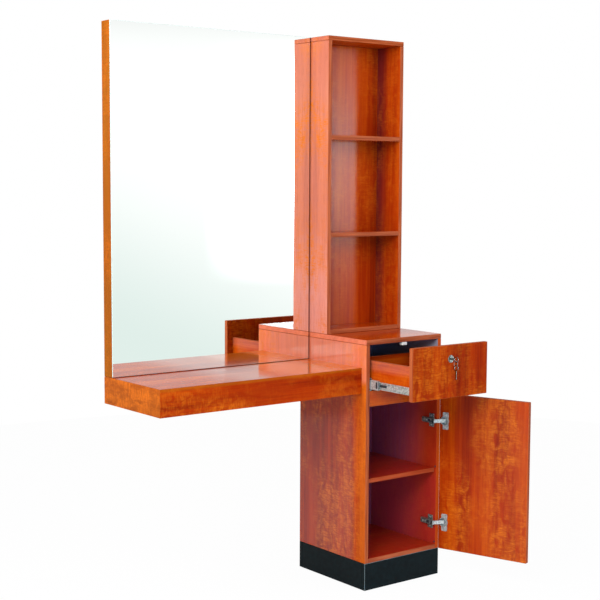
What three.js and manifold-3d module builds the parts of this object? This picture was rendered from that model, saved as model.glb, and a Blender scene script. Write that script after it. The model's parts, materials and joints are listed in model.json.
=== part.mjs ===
// Salon mirror station: a cabinet with a drawer and a door, a shelf tower on top of it, and a long
// ledge with a mirror panel that both stand out to the left of the cabinet and tower.
// Units are millimetres. X runs along the mirror to the right, Y from the front to the back, Z up.
// The origin is on the floor, under the middle of the plinth's back board.
// The drawer is drawn out and the door stands open.
import * as THREE from "three";
import { ConvexGeometry } from "three/addons/geometries/ConvexGeometry.js";
import { mergeVertices } from "three/addons/utils/BufferGeometryUtils.js";
import Module from "manifold-3d";

const wasm = await Module();
wasm.setup();

// Carcass sizes
const stationHeight = 2000;
const cabinetWidth = 364;
const cabinetDepth = 385;
const cabinetHeight = 912;
const plinthHeight = 99.5;
const carcassBoard = 16;
const cabinetTopBoard = 18;
const frontBoard = 18;
const seam = 0.3; // joint line where two pieces meet
const easedEdge = 1; // chamfer along the edges of an edge-banded board
const ballastThickness = 62;
const ballastMargin = 4;
const innerShelfUnderside = 391;
const innerShelfSetback = 10;
const drawerRailUnderside = 671.5;
const drawerRailHeight = 57;

// Tower sizes
const towerDepth = 160;
const towerBackInset = 14; // from the back plane to the tower's back board
const towerShelfNames = ["lower", "upper"];

// Ledge and mirror panel sizes
const ledgeLength = 841;
const ledgeDepth = 359;
const ledgeThickness = 93;
const ledgeTopHeight = 810.5;
const mirrorPanelDepth = 57;
const glassThickness = 4;
const glassInset = 1.5; // the polished edge stays clear of the tower and the ledge
const thinPanel = 4; // hardboard behind the glass and at the back

// Drawer sizes
const frontReveal = 2; // side gap of the drawer front and the door
const bumperGap = 2; // between a closed front and the cabinet's front edges
const drawerTopReveal = 5.5;
const drawerRailOverlap = 8;
const drawerBoard = 12;
const drawerHeadroom = 57; // from the top of the drawer's sides to the cabinet top
const drawerBackDrop = 5; // the drawer's back is lower than its sides
const drawerBottomPanel = 4;
const drawerBottomRise = 8;
const grooveDepth = 5;

// Ball-bearing slide sizes: outer member on the cabinet, inner member on the drawer
const slideThickness = 12.7;
const slideHeight = 45;
const slideSteel = 1.2;
const slideSetback = 3;
const slideRearGap = 16;
const slideAboveRail = 1;
const slideLip = 4.2;
const slideBend = 1.6; // outside corner radius of the rolled members
const outerBall = 3.5;
const innerBall = 2.3;
const ballPlay = 0.25; // running clearance on each side of a ball
const cagePlay = 0.3; // running clearance on each side of a cage
const cageSheet = 0.6;
const cageMargin = 5;
const ballsInRow = 6;
const middleOut = 45; // how far the middle members stand out of the cabinet
const slideHoleRadius = 2.3;
const slideHoles = [10, 86, 100, 200]; // from the front end of the inner member

// Lock and key sizes
const lockDrop = 48.5; // from the top of the drawer front to the lock's axis
const lockNoseRadius = 11;
const lockNoseProud = 3;
const lockCaseWidth = 44;
const lockCaseDepth = 18;
const lockCaseBelow = 20;
const lockCaseAbove = 20;
const lockWall = 3;
const plugRadius = 7;
const lockPlay = 0.3;
const boltWidth = 15;
const boltThickness = 4;
const boltThrow = 8;
const boltClear = 3; // between the drawn bolt and the catch above it
const boltBehindFront = 10;
const camPinRadius = 1.2;
const camSlotPlay = 0.4;
const keySheet = 1.8;
const keyBladeWidth = 7;
const keyBowRadius = 11;
const keyHoleRadius = 7;
const keyShank = 22; // bare length between the bow's centre and the lock
const keyBlade = 22;
const keyRingRadius = 9;
const keyRingWire = 0.8;
const keyRingDrop = 5.4; // from the middle of the bow's rim to the ring's centre

// Door and concealed hinge sizes
const doorAboveRailUnderside = 15.5;
const doorBelowFloor = 3; // the door hangs below the cabinet floor by this much
const doorOpenAngle = THREE.MathUtils.degToRad(108);
const doorAxisInset = 2; // hinge line, from the cabinet's side and behind its front edges
const doorAxisBehind = 2;
const hingeFromDoorEnd = 102;
const cupRadius = 17.5;
const cupDepth = 11.5;
const cupWall = 1.6;
const cupFromDoorEdge = 21.5;
const cupPlateHeight = 65;
const cupPlateWidth = 24;
const cupPlateOffset = 4; // the screw plate is further from the door's edge than the cup
const cupPlateThickness = 1.2;
const armWidth = 17;
const armSheet = 1.5;
const armHeight = 14; // from the cabinet side to the top of the arm
const armRear = 72; // from the cabinet's front edges to the arm's back end
const armNose = 11; // length of the open fork at the arm's front end
const mountPlateHeight = 50;
const mountPlateDepth = 26;
const mountPlateThickness = 2;
const mountPlateFront = 14;
const linkPinFromSide = 11;
const linkPinFromFront = 2.6;
const linkBarrelRadius = 2.5;
const linkThickness = 2.4;
const linkPinRadius = 1.6;
const linkPlay = 0.4;
const linkIntoCup = 4; // how deep the link's end reaches into the open cup
const linkEyeRadius = 1.6;
const cupPinRadius = 1.2;

// Nylon catch for the lock's bolt, under the cabinet top
const catchWidth = 24;
const catchDepth = 14;
const catchHeight = 11.5;

// Round things are drawn with this many sides
const roundSides = 24;
const finePinSides = 12;

// Finishes
const cherry = { color: 0xb5561d, roughness: 0.3, metalness: 0 };
const blackLaminate = { color: 0x1c2a2b, roughness: 0.45, metalness: 0 };
const hardboard = { color: 0x9a5a2c, roughness: 0.6, metalness: 0 };
const silvered = { color: 0xe6eae6, roughness: 0.03, metalness: 1 };
const zincSteel = { color: 0xb9bdba, roughness: 0.35, metalness: 1 };
const nickel = { color: 0xc9c8c2, roughness: 0.25, metalness: 1 };
const darkNylon = { color: 0x2b2f31, roughness: 0.5, metalness: 0 };
const whiteNylon = { color: 0xf1f1ec, roughness: 0.5, metalness: 0 };
const castIron = { color: 0x3b3d3e, roughness: 0.7, metalness: 1 };

// A named mesh in a group, at a place in that group
function addPiece(group, name, finish, geometry, place = [0, 0, 0]) {
  const mesh = new THREE.Mesh(geometry, new THREE.MeshStandardMaterial(finish));
  mesh.name = name;
  mesh.position.set(...place);
  group.add(mesh);
  return mesh;
}

// A block centred on the origin, with every edge chamfered
function easedBlock(width, depth, height, ease) {
  const x = width / 2;
  const y = depth / 2;
  const outline = new THREE.Shape();
  outline.moveTo(-x + ease, -y);
  outline.lineTo(x - ease, -y);
  outline.lineTo(x, -y + ease);
  outline.lineTo(x, y - ease);
  outline.lineTo(x - ease, y);
  outline.lineTo(-x + ease, y);
  outline.lineTo(-x, y - ease);
  outline.lineTo(-x, -y + ease);
  const block = new THREE.ExtrudeGeometry(outline, {
    depth: height - 2 * ease,
    bevelThickness: ease,
    bevelSize: ease,
    bevelOffset: -ease,
    bevelSegments: 1,
  });
  return block.translate(0, 0, ease - height / 2);
}

// The same block between two opposite corners
function boardBetween(low, high, ease = easedEdge) {
  const size = high.map((value, axis) => value - low[axis]);
  const middle = high.map((value, axis) => (value + low[axis]) / 2);
  return easedBlock(...size, ease).translate(...middle);
}

// A board as a piece, placed by its middle
function addBoard(group, name, low, high, finish = cherry) {
  const size = high.map((value, axis) => value - low[axis]);
  const middle = high.map((value, axis) => (value + low[axis]) / 2);
  return addPiece(group, name, finish, easedBlock(...size, easedEdge), middle);
}

// A sharp box between two corners, for cuts
function boxBetween(low, high) {
  const size = high.map((value, axis) => value - low[axis]);
  const middle = high.map((value, axis) => (value + low[axis]) / 2);
  return new THREE.BoxGeometry(...size).translate(...middle);
}

// A round bar along X, Y or Z, from one place on its axis to another
function roundBar(radius, from, to, sides = roundSides) {
  const start = new THREE.Vector3(...from);
  const end = new THREE.Vector3(...to);
  const along = end.clone().sub(start);
  const bar = new THREE.CylinderGeometry(radius, radius, along.length(), sides);
  const turn = new THREE.Quaternion().setFromUnitVectors(new THREE.Vector3(0, 1, 0), along.normalize());
  bar.applyQuaternion(turn);
  const middle = start.add(end).multiplyScalar(0.5);
  return bar.translate(middle.x, middle.y, middle.z);
}

// Joins and cuts of closed meshes
function solidFrom(geometry) {
  const bare = geometry.clone();
  bare.deleteAttribute("normal");
  bare.deleteAttribute("uv");
  const merged = mergeVertices(bare);
  const vertProperties = merged.attributes.position.array;
  const triVerts = new Uint32Array(merged.index.array);
  return new wasm.Manifold(new wasm.Mesh({ numProp: 3, vertProperties, triVerts }));
}

function geometryFrom(solid) {
  const mesh = solid.getMesh();
  const geometry = new THREE.BufferGeometry();
  geometry.setAttribute("position", new THREE.BufferAttribute(mesh.vertProperties, 3));
  geometry.setIndex(new THREE.BufferAttribute(mesh.triVerts, 1));
  geometry.computeVertexNormals();
  return geometry;
}

function joined(...geometries) {
  const [first, ...others] = geometries.map(solidFrom);
  return geometryFrom(others.reduce((whole, piece) => whole.add(piece), first));
}

function withCuts(geometry, ...cuts) {
  const whole = cuts.reduce((left, cut) => left.subtract(solidFrom(cut)), solidFrom(geometry));
  return geometryFrom(whole);
}

// Heights and places shared by several pieces
const cabinetTopUnderside = cabinetHeight - cabinetTopBoard;
const catchUnderside = cabinetTopUnderside - seam - catchHeight;
const insideLeft = carcassBoard + seam;
const insideRight = cabinetWidth - carcassBoard - seam;
const cabinetFloorTop = plinthHeight + seam + carcassBoard;
const drawerRailTop = drawerRailUnderside + drawerRailHeight;
const closedFrontFace = -cabinetDepth - bumperGap; // inner face of a closed drawer front or door
const slideLength = cabinetDepth - slideSetback - carcassBoard - slideRearGap;
const stageTravel = slideLength / 2;
const drawerOut = stageTravel + middleOut;
const slideCentreHeight = drawerRailTop + slideAboveRail + slideHeight / 2;
const ledgeUnderside = ledgeTopHeight - ledgeThickness;

const station = new THREE.Group();
station.position.set(-cabinetWidth / 2, carcassBoard / 2, 0);

// Plinth of four boards with butted corners, and the counterweight bolted under the cabinet floor.
// The counterweight balances the ledge and the mirror, which stand out to one side.
function buildPlinth() {
  const sideStart = -cabinetDepth + carcassBoard + seam;
  const sideEnd = -carcassBoard - seam;
  addBoard(station, "plinth_front", [0, -cabinetDepth, 0],
    [cabinetWidth, -cabinetDepth + carcassBoard, plinthHeight], blackLaminate);
  addBoard(station, "plinth_back", [0, -carcassBoard, 0], [cabinetWidth, 0, plinthHeight], blackLaminate);
  addBoard(station, "plinth_left", [0, sideStart, 0], [carcassBoard, sideEnd, plinthHeight], blackLaminate);
  addBoard(station, "plinth_right", [cabinetWidth - carcassBoard, sideStart, 0],
    [cabinetWidth, sideEnd, plinthHeight], blackLaminate);
  addBoard(station, "counterweight",
    [carcassBoard + ballastMargin, sideStart + ballastMargin, plinthHeight - ballastThickness],
    [cabinetWidth - carcassBoard - ballastMargin, sideEnd - ballastMargin, plinthHeight], castIron);
}

// Cabinet carcass: the sides stand on the plinth, the top lies on the sides
function buildCabinet() {
  const base = plinthHeight + seam;
  const sideTop = cabinetTopUnderside - seam;
  const backFace = -carcassBoard - seam;
  addBoard(station, "cabinet_left_side", [0, -cabinetDepth, base], [carcassBoard, 0, sideTop]);
  addBoard(station, "cabinet_right_side", [cabinetWidth - carcassBoard, -cabinetDepth, base],
    [cabinetWidth, 0, sideTop]);
  addBoard(station, "cabinet_floor", [insideLeft, -cabinetDepth, base],
    [insideRight, backFace, cabinetFloorTop]);
  addBoard(station, "cabinet_back", [insideLeft, -carcassBoard, base], [insideRight, 0, sideTop]);
  addBoard(station, "inner_shelf", [insideLeft, -cabinetDepth + innerShelfSetback, innerShelfUnderside],
    [insideRight, backFace, innerShelfUnderside + carcassBoard]);
  addBoard(station, "drawer_rail", [insideLeft, -cabinetDepth, drawerRailUnderside],
    [insideRight, -cabinetDepth + carcassBoard, drawerRailTop]);
  addBoard(station, "drawer_divider",
    [insideLeft, -cabinetDepth + carcassBoard + seam, drawerRailUnderside],
    [insideRight, backFace, drawerRailUnderside + carcassBoard]);
  addBoard(station, "cabinet_top", [0, -cabinetDepth, cabinetTopUnderside], [cabinetWidth, 0, cabinetHeight]);
  const boltPlace = closedFrontFace + boltBehindFront;
  const catchMiddle = cabinetWidth / 2;
  const slotHalf = boltWidth / 2 + camSlotPlay * 2;
  const block = boardBetween([catchMiddle - catchWidth / 2, boltPlace - catchDepth / 2, catchUnderside],
    [catchMiddle + catchWidth / 2, boltPlace + catchDepth / 2, catchUnderside + catchHeight]);
  const boltSlot = boxBetween([catchMiddle - slotHalf, boltPlace - boltThickness, catchUnderside - seam],
    [catchMiddle + slotHalf, boltPlace + boltThickness, cabinetTopUnderside]);
  addPiece(station, "drawer_catch", whiteNylon, withCuts(block, boltSlot));
}

// Open shelf tower on the back of the cabinet top, with equal compartments
function buildTower() {
  const base = cabinetHeight + seam;
  const roofUnderside = stationHeight - carcassBoard;
  const sideTop = roofUnderside - seam;
  const backFront = -towerBackInset - carcassBoard;
  const shelfBack = backFront - seam;
  addBoard(station, "tower_left_side", [0, -towerDepth, base], [carcassBoard, 0, sideTop]);
  addBoard(station, "tower_right_side", [cabinetWidth - carcassBoard, -towerDepth, base],
    [cabinetWidth, 0, sideTop]);
  addBoard(station, "tower_roof", [0, -towerDepth, roofUnderside], [cabinetWidth, 0, stationHeight]);
  addBoard(station, "tower_back", [insideLeft, backFront, base], [insideRight, -towerBackInset, sideTop]);
  addBoard(station, "tower_floor", [insideLeft, -towerDepth, base],
    [insideRight, shelfBack, base + carcassBoard]);
  const pitch = (roofUnderside - base) / (towerShelfNames.length + 1);
  towerShelfNames.forEach((name, index) => {
    const shelfBase = base + pitch * (index + 1);
    addBoard(station, `tower_${name}_shelf`, [insideLeft, -towerDepth, shelfBase],
      [insideRight, shelfBack, shelfBase + carcassBoard]);
  });
}

// Corner points of a rectangle in a plane of constant x, y or z
function rectangle(axis, level, [lowA, lowB], [highA, highB]) {
  const corners = [[lowA, lowB], [highA, lowB], [highA, highB], [lowA, highB]];
  return corners.map((pair) => {
    const point = [...pair];
    point.splice(axis, 0, level);
    return new THREE.Vector3(...point);
  });
}

// Ledge of folded boards: the top, the front apron and the left end meet in mitres, so that their outer
// faces run to the edge. The board at the right end is bolted to the cabinet's side.
function buildLedge() {
  const left = -ledgeLength;
  const right = -seam;
  const back = -thinPanel - seam;
  const mitre = seam * Math.SQRT2; // gap at a mitre, measured along a face
  const inner = carcassBoard;
  const apronTop = ledgeTopHeight - mitre;
  addPiece(station, "ledge_top", cherry, new ConvexGeometry([
    ...rectangle(2, ledgeTopHeight, [left, -ledgeDepth], [right, back]),
    ...rectangle(2, ledgeTopHeight - inner, [left + inner, -ledgeDepth + inner], [right, back]),
  ]));
  addPiece(station, "ledge_front", cherry, new ConvexGeometry([
    ...rectangle(1, -ledgeDepth, [left, ledgeUnderside], [right, apronTop]),
    ...rectangle(1, -ledgeDepth + inner, [left + inner, ledgeUnderside], [right, apronTop - inner]),
  ]));
  addPiece(station, "ledge_left_end", cherry, new ConvexGeometry([
    ...rectangle(0, left, [-ledgeDepth + mitre, ledgeUnderside], [0, apronTop]),
    ...rectangle(0, left + inner, [-ledgeDepth + inner + mitre, ledgeUnderside], [0, apronTop - inner]),
  ]));
  addBoard(station, "ledge_right_end",
    [right - carcassBoard, -ledgeDepth + carcassBoard + seam, ledgeUnderside],
    [right, 0, ledgeTopHeight - carcassBoard - seam]);
}

// Mirror panel: a hollow frame on the ledge, faced with glass and closed at the back by one thin panel,
// which runs down behind the ledge too
function buildMirror() {
  const left = -ledgeLength;
  const right = -seam;
  const base = ledgeTopHeight + seam;
  const frameFront = -mirrorPanelDepth + glassThickness + seam;
  const innerLeft = left + carcassBoard + seam;
  const innerRight = right - carcassBoard - seam;
  const railBack = -thinPanel - seam;
  const topRailBase = stationHeight - carcassBoard;
  const bottomRailTop = base + carcassBoard;
  addBoard(station, "mirror_left_stile", [left, frameFront, base], [left + carcassBoard, 0, stationHeight]);
  addBoard(station, "mirror_right_stile", [right - carcassBoard, frameFront, base],
    [right, 0, stationHeight]);
  addBoard(station, "mirror_top_rail", [innerLeft, frameFront, topRailBase],
    [innerRight, 0, stationHeight]);
  addBoard(station, "mirror_bottom_rail", [innerLeft, frameFront, base],
    [innerRight, railBack, bottomRailTop]);
  addBoard(station, "mirror_backing", [innerLeft, frameFront, bottomRailTop + seam],
    [innerRight, frameFront + thinPanel, topRailBase - seam], hardboard);
  addBoard(station, "back_panel", [innerLeft, -thinPanel, ledgeUnderside],
    [innerRight, 0, topRailBase - seam]);
  addBoard(station, "mirror_glass", [left, -mirrorPanelDepth, base + glassInset],
    [right - glassInset, -mirrorPanelDepth + glassThickness, stationHeight], silvered);
}

// Rolled channel with lips, open towards +X, run along -Y from y = 0
function channel(depth, halfHeight, sheet, lip, bend, length) {
  const outline = new THREE.Shape();
  outline.moveTo(bend, -halfHeight);
  outline.lineTo(depth - bend, -halfHeight);
  outline.quadraticCurveTo(depth, -halfHeight, depth, -halfHeight + bend);
  outline.lineTo(depth, -halfHeight + lip);
  outline.lineTo(depth - sheet, -halfHeight + lip);
  outline.lineTo(depth - sheet, -halfHeight + sheet);
  outline.lineTo(sheet, -halfHeight + sheet);
  outline.lineTo(sheet, halfHeight - sheet);
  outline.lineTo(depth - sheet, halfHeight - sheet);
  outline.lineTo(depth - sheet, halfHeight - lip);
  outline.lineTo(depth, halfHeight - lip);
  outline.lineTo(depth, halfHeight - bend);
  outline.quadraticCurveTo(depth, halfHeight, depth - bend, halfHeight);
  outline.lineTo(bend, halfHeight);
  outline.quadraticCurveTo(0, halfHeight, 0, halfHeight - bend);
  outline.lineTo(0, -halfHeight + bend);
  outline.quadraticCurveTo(0, -halfHeight, bend, -halfHeight);
  const run = new THREE.ExtrudeGeometry(outline, { depth: length, bevelEnabled: false, curveSegments: 3 });
  return run.rotateX(Math.PI / 2);
}

// Ball cage: a thin channel between two members, with a row of balls in each flange
function ballCage(web, ballX, rowHeight, ball) {
  const flange = ball / 2;
  const reach = ballX + ball / 2;
  const outline = new THREE.Shape();
  const halfHeight = rowHeight + flange / 2;
  outline.moveTo(web, -halfHeight);
  outline.lineTo(reach, -halfHeight);
  outline.lineTo(reach, -halfHeight + flange);
  outline.lineTo(web + cageSheet, -halfHeight + flange);
  outline.lineTo(web + cageSheet, halfHeight - flange);
  outline.lineTo(reach, halfHeight - flange);
  outline.lineTo(reach, halfHeight);
  outline.lineTo(web, halfHeight);
  const sheet = new THREE.ExtrudeGeometry(outline, { depth: cageLength, bevelEnabled: false });
  const pieces = [sheet.rotateX(Math.PI / 2)];
  const pitch = cageLength / ballsInRow;
  for (const side of [-1, 1]) {
    for (let index = 0; index < ballsInRow; index += 1) {
      const one = new THREE.SphereGeometry(ball / 2, 8, 6);
      pieces.push(one.translate(ballX, -pitch * (index + 0.5), side * rowHeight));
    }
  }
  return joined(...pieces);
}

// Slide sections, measured from the cabinet's side towards the drawer
const outerHalf = slideHeight / 2;
const middleHalf = outerHalf - slideSteel - outerBall - 2 * ballPlay;
const innerHalf = middleHalf - slideSteel - innerBall - 2 * ballPlay;
const memberPlay = cageSheet + 2 * cagePlay; // between the webs of two members
const outerDepth = slideThickness - slideSteel - seam - ballPlay;
const middleStart = slideSteel + memberPlay;
const middleDepth = outerDepth - middleStart - ballPlay;
const middleLip = middleHalf - innerHalf - ballPlay * 2;
const innerDepth = slideThickness - 2 * seam - middleStart - slideSteel - memberPlay;
const cageLength = slideLength - stageTravel - 2 * cageMargin;
const cageRear = slideLength - stageTravel / 2 - cageMargin - cageLength; // behind the cage when shut

// One slide: five telescoping pieces. The cages roll at half the travel of the member they carry.
function buildSlide(name, sideX, turn) {
  const slide = new THREE.Group();
  slide.position.set(sideX, -cabinetDepth + slideSetback + slideLength, slideCentreHeight);
  slide.rotation.y = turn;
  station.add(slide);
  const start = seam;
  const outer = channel(outerDepth, outerHalf, slideSteel, slideLip, slideBend, slideLength);
  addPiece(slide, `slide_outer_${name}`, zincSteel, outer, [start, 0, 0]);
  const middle = channel(middleDepth, middleHalf, slideSteel, middleLip, slideBend, slideLength);
  addPiece(slide, `slide_middle_${name}`, zincSteel, middle, [start + middleStart, -middleOut, 0]);
  const inner = channel(innerDepth, innerHalf, slideSteel, slideSteel * 2, slideBend, slideLength);
  inner.rotateZ(Math.PI).translate(0, -slideLength, 0);
  const holes = slideHoles.map((fromFront) => {
    const y = fromFront - slideLength;
    return roundBar(slideHoleRadius, [-slideSteel * 2, y, 0], [slideSteel, y, 0], finePinSides);
  });
  addPiece(slide, `slide_inner_${name}`, zincSteel, withCuts(inner, ...holes),
    [slideThickness - seam, -drawerOut, 0]);
  const outerRow = (outerHalf - slideSteel + middleHalf) / 2;
  const outerBallX = slideSteel + memberPlay + outerBall;
  addPiece(slide, `ball_cage_outer_${name}`, darkNylon,
    ballCage(slideSteel + cagePlay, outerBallX, outerRow, outerBall),
    [start, -cageRear - middleOut / 2, 0]);
  const innerRow = (middleHalf - slideSteel + innerHalf) / 2;
  const innerWeb = middleStart + slideSteel + cagePlay;
  const innerBallX = innerWeb + cageSheet + innerBall;
  addPiece(slide, `ball_cage_inner_${name}`, darkNylon,
    ballCage(innerWeb, innerBallX, innerRow, innerBall),
    [start, -cageRear - middleOut - stageTravel / 2, 0]);
}

// Drawer box with its overlaid front; the bottom panel sits in grooves
const drawerFrontLow = drawerRailTop - drawerRailOverlap;
const drawerFrontHigh = cabinetHeight - drawerTopReveal;
const lockAxisHeight = drawerFrontHigh - lockDrop;
const lockAxisX = cabinetWidth / 2;
const drawer = new THREE.Group();
drawer.position.y = -drawerOut;

function buildDrawer() {
  station.add(drawer);
  const boxLeft = carcassBoard + slideThickness;
  const boxRight = cabinetWidth - boxLeft;
  const boxFront = closedFrontFace + seam;
  const boxBack = boxFront + slideLength - seam;
  const base = slideCentreHeight - innerHalf - drawerBottomRise / 2;
  const top = cabinetTopUnderside - drawerHeadroom;
  const panelLow = base + drawerBottomRise;
  const panelHigh = panelLow + drawerBottomPanel;
  const insideLow = boxLeft + drawerBoard;
  const insideHigh = boxRight - drawerBoard;
  const frontFace = closedFrontFace - frontBoard;
  const front = boardBetween([frontReveal, frontFace, drawerFrontLow],
    [cabinetWidth - frontReveal, closedFrontFace, drawerFrontHigh]);
  const lockBore = roundBar(lockNoseRadius + lockPlay,
    [lockAxisX, frontFace - seam, lockAxisHeight], [lockAxisX, closedFrontFace + seam, lockAxisHeight]);
  addPiece(drawer, "drawer_front", cherry, withCuts(front, lockBore));
  const groove = boxBetween(
    [insideLow - grooveDepth - seam, boxFront - seam, panelLow - seam],
    [insideHigh + grooveDepth + seam, boxBack + seam, panelHigh + seam]);
  const leftSide = boardBetween([boxLeft, boxFront, base], [insideLow, boxBack, top]);
  addPiece(drawer, "drawer_left_side", cherry, withCuts(leftSide, groove));
  const rightSide = boardBetween([insideHigh, boxFront, base], [boxRight, boxBack, top]);
  addPiece(drawer, "drawer_right_side", cherry, withCuts(rightSide, groove));
  addBoard(drawer, "drawer_back", [insideLow + seam, boxBack - drawerBoard, panelHigh + seam],
    [insideHigh - seam, boxBack, top - drawerBackDrop]);
  addBoard(drawer, "drawer_bottom", [insideLow - grooveDepth, boxFront, panelLow],
    [insideHigh + grooveDepth, boxBack - seam, panelHigh], hardboard);
}

// Flat key in the XY plane, with the bow round the origin and the blade along +X
function keyGeometry() {
  const half = keyBladeWidth / 2;
  const neck = Math.asin(half / keyBowRadius);
  const tip = keyShank + keyBlade;
  const notch = half / 2;
  const step = keyBlade / 6;
  const outline = new THREE.Shape();
  outline.absarc(0, 0, keyBowRadius, neck, 2 * Math.PI - neck, false);
  outline.lineTo(tip - half, -half);
  outline.lineTo(tip, 0);
  outline.lineTo(tip - step, half);
  for (let cut = 1; cut <= 2; cut += 1) {
    const middle = tip - step * (2 * cut);
    outline.lineTo(middle + step / 2, half);
    outline.lineTo(middle, half - notch);
    outline.lineTo(middle - step / 2, half);
  }
  const hole = new THREE.Path();
  hole.absarc(0, 0, keyHoleRadius, 0, 2 * Math.PI, true);
  outline.holes.push(hole);
  const flat = new THREE.ExtrudeGeometry(outline, {
    depth: keySheet,
    bevelEnabled: false,
    curveSegments: roundSides,
  });
  return flat.translate(0, 0, -keySheet / 2);
}

// Cylinder lock in the drawer front: the key turns the plug, whose cam pin lifts the bolt
function buildLock() {
  const frontFace = closedFrontFace - frontBoard;
  const noseFace = frontFace - lockNoseProud;
  const caseFront = closedFrontFace + seam;
  const caseBack = closedFrontFace + lockCaseDepth;
  const boltMiddle = closedFrontFace + boltBehindFront;
  const boltFront = boltMiddle - boltThickness / 2;
  const boltBack = boltMiddle + boltThickness / 2;
  const plugEnd = boltFront - lockPlay;
  const caseTop = lockAxisHeight + lockCaseAbove;
  const pinOffset = boltThrow / 2; // the pin swings from this far below the axis to this far above it
  const pinReach = pinOffset * Math.SQRT2;
  const cavityHalf = pinReach + camPinRadius + lockWall;
  const cavityLow = lockAxisHeight - cavityHalf;
  const box = boardBetween([lockAxisX - lockCaseWidth / 2, caseFront, lockAxisHeight - lockCaseBelow],
    [lockAxisX + lockCaseWidth / 2, caseBack, caseTop]);
  const nose = roundBar(lockNoseRadius, [lockAxisX, noseFace, lockAxisHeight],
    [lockAxisX, caseFront + lockWall, lockAxisHeight]);
  const plugBore = roundBar(plugRadius + lockPlay, [lockAxisX, noseFace - seam, lockAxisHeight],
    [lockAxisX, boltMiddle, lockAxisHeight]);
  const cavity = boxBetween([lockAxisX - cavityHalf, boltFront - lockPlay, cavityLow],
    [lockAxisX + cavityHalf, boltBack + lockPlay, caseTop + seam]);
  addPiece(drawer, "lock_case", nickel, withCuts(joined(box, nose), plugBore, cavity));

  const plugBody = roundBar(plugRadius, [lockAxisX, noseFace, lockAxisHeight],
    [lockAxisX, plugEnd, lockAxisHeight]);
  const camPin = roundBar(camPinRadius,
    [lockAxisX + pinOffset, plugEnd - seam, lockAxisHeight - pinOffset],
    [lockAxisX + pinOffset, boltBack, lockAxisHeight - pinOffset], finePinSides);
  const keyway = boxBetween(
    [lockAxisX - keySheet / 2 - lockPlay, noseFace - seam, lockAxisHeight - keyBladeWidth / 2 - lockPlay],
    [lockAxisX + keySheet / 2 + lockPlay, noseFace + keyBlade + lockPlay * 2,
      lockAxisHeight + keyBladeWidth / 2 + lockPlay]);
  addPiece(drawer, "lock_plug", nickel, withCuts(joined(plugBody, camPin), keyway));

  const boltTop = catchUnderside - boltClear;
  const boltBody = boardBetween([lockAxisX - boltWidth / 2, boltFront, cavityLow + lockPlay],
    [lockAxisX + boltWidth / 2, boltBack, boltTop], lockPlay);
  const slotHalf = camPinRadius + camSlotPlay;
  const camSlot = boxBetween(
    [lockAxisX + pinOffset - slotHalf, boltFront - seam, lockAxisHeight - pinOffset - slotHalf],
    [lockAxisX + boltWidth, boltBack + seam, lockAxisHeight - pinOffset + slotHalf]);
  addPiece(drawer, "lock_bolt", nickel, withCuts(boltBody, camSlot));

  const bowY = noseFace - keyShank;
  const key = addPiece(drawer, "key", nickel, keyGeometry(), [lockAxisX, bowY, lockAxisHeight]);
  key.rotation.set(0, Math.PI / 2, Math.PI / 2);
  const rimHeight = lockAxisHeight - (keyBowRadius + keyHoleRadius) / 2;
  const ringHeight = rimHeight - keyRingDrop;
  const ring = new THREE.TorusGeometry(keyRingRadius, keyRingWire, 6, roundSides);
  addPiece(drawer, "key_ring", nickel, ring.rotateX(Math.PI / 2), [lockAxisX, bowY, ringHeight]);
  const spareHeight = ringHeight - keyRingRadius + keyRingWire + seam - keyHoleRadius;
  const spare = addPiece(drawer, "spare_key", nickel, keyGeometry(), [lockAxisX, bowY, spareHeight]);
  spare.rotation.set(0, Math.PI / 2, 0);
}

// Door on two concealed hinges, turned about the hinge line at the cabinet's front right corner
const doorAxisX = cabinetWidth - doorAxisInset;
const doorAxisY = -cabinetDepth + doorAxisBehind;
const doorLow = plinthHeight + seam - doorBelowFloor;
const doorHigh = drawerRailUnderside + doorAboveRailUnderside;
const doorEdge = cabinetWidth - frontReveal - doorAxisX; // hinge edge, from the hinge line
const doorFace = closedFrontFace - doorAxisY; // inner face of the shut door, from the hinge line
const cupX = doorEdge - cupFromDoorEdge;
const hingeHeights = { upper: doorHigh - hingeFromDoorEnd, lower: doorLow + hingeFromDoorEnd };

// Hinge cup with its screw plate and cross pin, on the inner face of the shut door
function cupGeometry() {
  const plateBase = doorFace + seam;
  const plateTop = plateBase + cupPlateThickness;
  const corner = cupPlateWidth / 6;
  const half = cupPlateHeight / 2;
  const outline = new THREE.Shape();
  outline.moveTo(-cupPlateWidth / 2 + corner, -half);
  outline.lineTo(cupPlateWidth / 2 - corner, -half);
  outline.quadraticCurveTo(cupPlateWidth / 2, -half, cupPlateWidth / 2, -half + corner);
  outline.lineTo(cupPlateWidth / 2, half - corner);
  outline.quadraticCurveTo(cupPlateWidth / 2, half, cupPlateWidth / 2 - corner, half);
  outline.lineTo(-cupPlateWidth / 2 + corner, half);
  outline.quadraticCurveTo(-cupPlateWidth / 2, half, -cupPlateWidth / 2, half - corner);
  outline.lineTo(-cupPlateWidth / 2, -half + corner);
  outline.quadraticCurveTo(-cupPlateWidth / 2, -half, -cupPlateWidth / 2 + corner, -half);
  const plate = new THREE.ExtrudeGeometry(outline, {
    depth: cupPlateThickness,
    bevelEnabled: false,
    curveSegments: 4,
  });
  plate.rotateX(Math.PI / 2).translate(-cupPlateOffset, plateTop, 0);
  const pot = roundBar(cupRadius, [0, doorFace - cupDepth, 0], [0, plateTop, 0]);
  const hollow = roundBar(cupRadius - cupWall, [0, doorFace - cupDepth + cupWall, 0],
    [0, plateTop + seam, 0]);
  const pinY = doorFace - linkIntoCup - linkEyeRadius - cupPinRadius - seam;
  const pinHalf = cupRadius - cupWall / 2;
  const pin = roundBar(cupPinRadius, [0, pinY, -pinHalf], [0, pinY, pinHalf], finePinSides);
  return joined(withCuts(joined(plate, pot), hollow), pin);
}

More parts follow.
